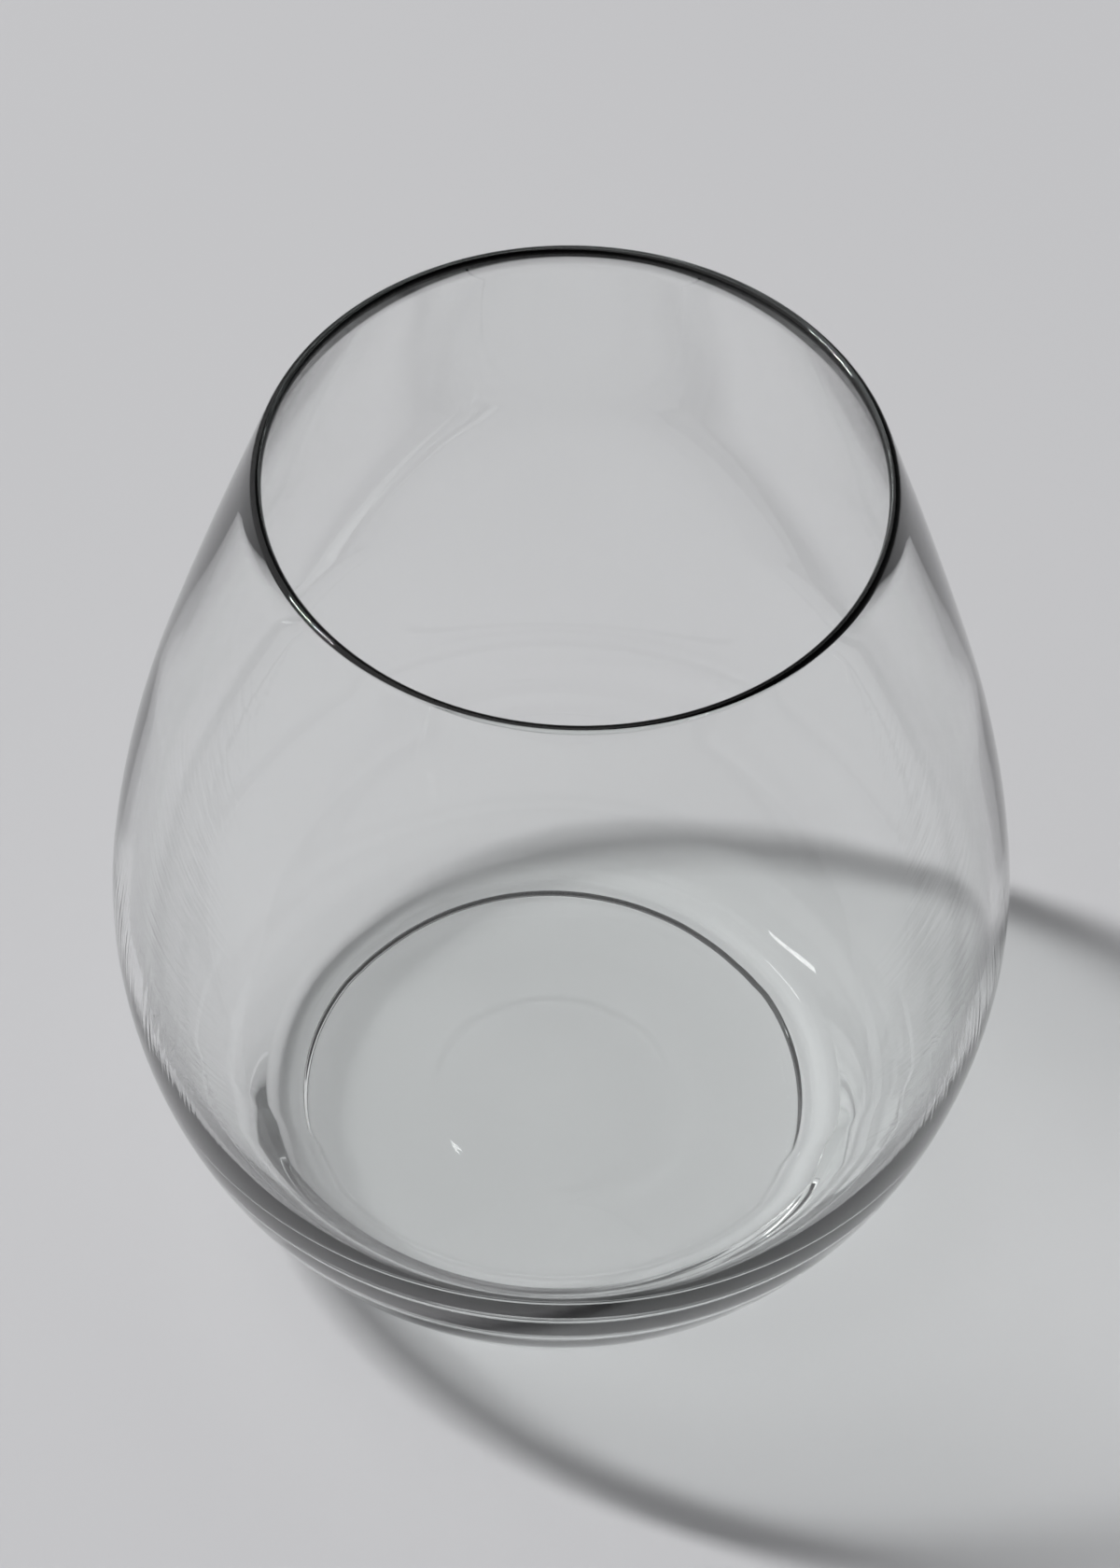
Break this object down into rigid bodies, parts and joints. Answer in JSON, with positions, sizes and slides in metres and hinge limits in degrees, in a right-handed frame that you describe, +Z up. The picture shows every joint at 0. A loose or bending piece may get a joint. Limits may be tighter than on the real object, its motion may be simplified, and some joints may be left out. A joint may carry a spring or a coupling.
{
  "type": "stemless drinking glass",
  "caption": "Stemless drinking glass with a wide belly, a thin wall tapering to a fire-finished lip, and a heavy rounded bottom on a narrow contact ring.",
  "frame": {"origin": "middle of the contact ring's plane, on the glass's axis", "axes": "+Z up along the glass's axis to the mouth; the glass is round, so +X and +Y are any two level directions"},
  "size_m": [0.0966, 0.0964, 0.1058],
  "materials": {
    "glass": "fire-polished clear glass with a faint green tint"
  },
  "bodies": {
    "root": {"base": "glass", "bowl": "glass", "rim": "glass"}
  },
  "joints": []
}
